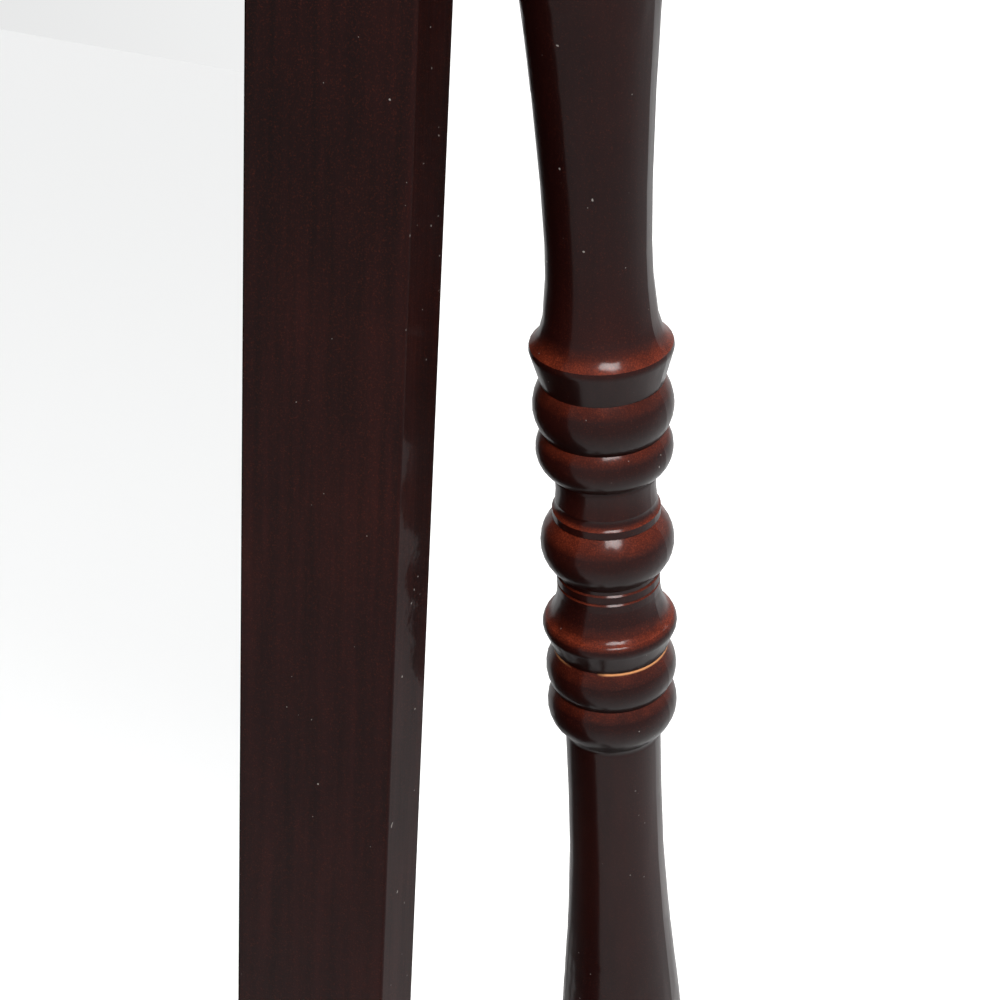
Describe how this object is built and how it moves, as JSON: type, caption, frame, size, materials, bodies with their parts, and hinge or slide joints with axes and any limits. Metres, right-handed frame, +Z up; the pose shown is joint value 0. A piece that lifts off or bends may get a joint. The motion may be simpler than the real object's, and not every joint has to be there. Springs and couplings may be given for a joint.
{
  "type": "jewelry armoire",
  "caption": "Free-standing jewelry armoire: a shallow mirrored cabinet that tilts between two turned posts on curved feet, with a mirror door over shelves, hooks and ring rolls.",
  "frame": {"origin": "on the floor, midway between the four feet, under the tilt axis", "axes": "+Z up, +X to the right of a person looking at the mirror, -Y towards that person"},
  "size_m": [0.521, 0.4002, 1.4425],
  "materials": {
    "gloss_dark_wood": "near-black red-brown stain under gloss lacquer",
    "satin_dark_wood": "near-black red-brown stain, satin",
    "painted_board": "dark painted fibreboard",
    "pale_dowel": "bare beech",
    "steel": "zinc plated",
    "brass": "polished",
    "nylon": "moulded",
    "catch_plastic": "moulded",
    "velvet": "short-pile velvet",
    "mirror": "silvered glass"
  },
  "bodies": {
    "stand": {"post_left": "gloss_dark_wood", "post_right": "gloss_dark_wood", "finial_left": "gloss_dark_wood", "finial_right": "gloss_dark_wood", "foot_front_left": "gloss_dark_wood", "foot_front_right": "gloss_dark_wood", "foot_rear_left": "gloss_dark_wood", "foot_rear_right": "gloss_dark_wood", "lower_stretcher": "gloss_dark_wood", "stretcher_bolts": "steel", "barrel_nuts": "steel", "bolt_caps": "gloss_dark_wood", "foot_dowels": "pale_dowel", "foot_glides": "nylon", "pivot_bushings": "brass"},
    "cabinet": {"frame_stile_left": "gloss_dark_wood", "frame_stile_right": "gloss_dark_wood", "frame_rail_bottom": "gloss_dark_wood", "frame_rail_top": "gloss_dark_wood", "box_side_left": "satin_dark_wood", "box_side_right": "satin_dark_wood", "box_bottom": "satin_dark_wood", "box_top": "satin_dark_wood", "back_panel": "painted_board", "back_liner": "velvet", "back_screws": "steel", "pivot_block_left": "satin_dark_wood", "pivot_block_right": "satin_dark_wood", "pivot_inserts": "brass", "pivot_washers": "nylon", "shelf_necklace": "satin_dark_wood", "shelf_ring": "satin_dark_wood", "shelf_earring": "satin_dark_wood", "shelf_bracelet": "satin_dark_wood", "guard_rails": "brass", "hook_strip": "satin_dark_wood", "necklace_hooks": "brass", "ring_board": "painted_board", "ring_rolls": "velvet", "earring_bars": "satin_dark_wood", "shelf_pads": "velvet", "door_bushings": "brass", "magnetic_catch": "catch_plastic"},
    "mirror_door": {"door_panel": "painted_board", "mirror_glass": "mirror", "door_pivots": "steel", "door_knob": "brass", "knob_screw": "steel", "strike_plate": "steel"},
    "tilt_knob_left": {"tilt_knob_left": "gloss_dark_wood", "tilt_stud_left": "steel"},
    "tilt_knob_right": {"tilt_knob_right": "gloss_dark_wood", "tilt_stud_right": "steel"}
  },
  "joints": [
    {"name": "cabinet_tilt", "type": "hinge", "parent": "stand", "child": "cabinet", "pos_m": [0, 0, 0.84], "axis": [-1, 0, 0], "range_deg": [-16.5, 8.5]},
    {"name": "mirror_door_swing", "type": "hinge", "parent": "cabinet", "child": "mirror_door", "pos_m": [-0.1253, -0.01715, 0.84349], "axis": [0, -0.1994, -0.9799], "range_deg": [0, 95]},
    {"name": "tilt_knob_left_turn", "type": "hinge", "parent": "stand", "child": "tilt_knob_left", "pos_m": [-0.245, 0, 0.84], "axis": [-1, 0, 0], "range_deg": [-180, 180]},
    {"name": "tilt_knob_right_turn", "type": "hinge", "parent": "stand", "child": "tilt_knob_right", "pos_m": [0.245, 0, 0.84], "axis": [1, 0, 0], "range_deg": [-180, 180]}
  ]
}
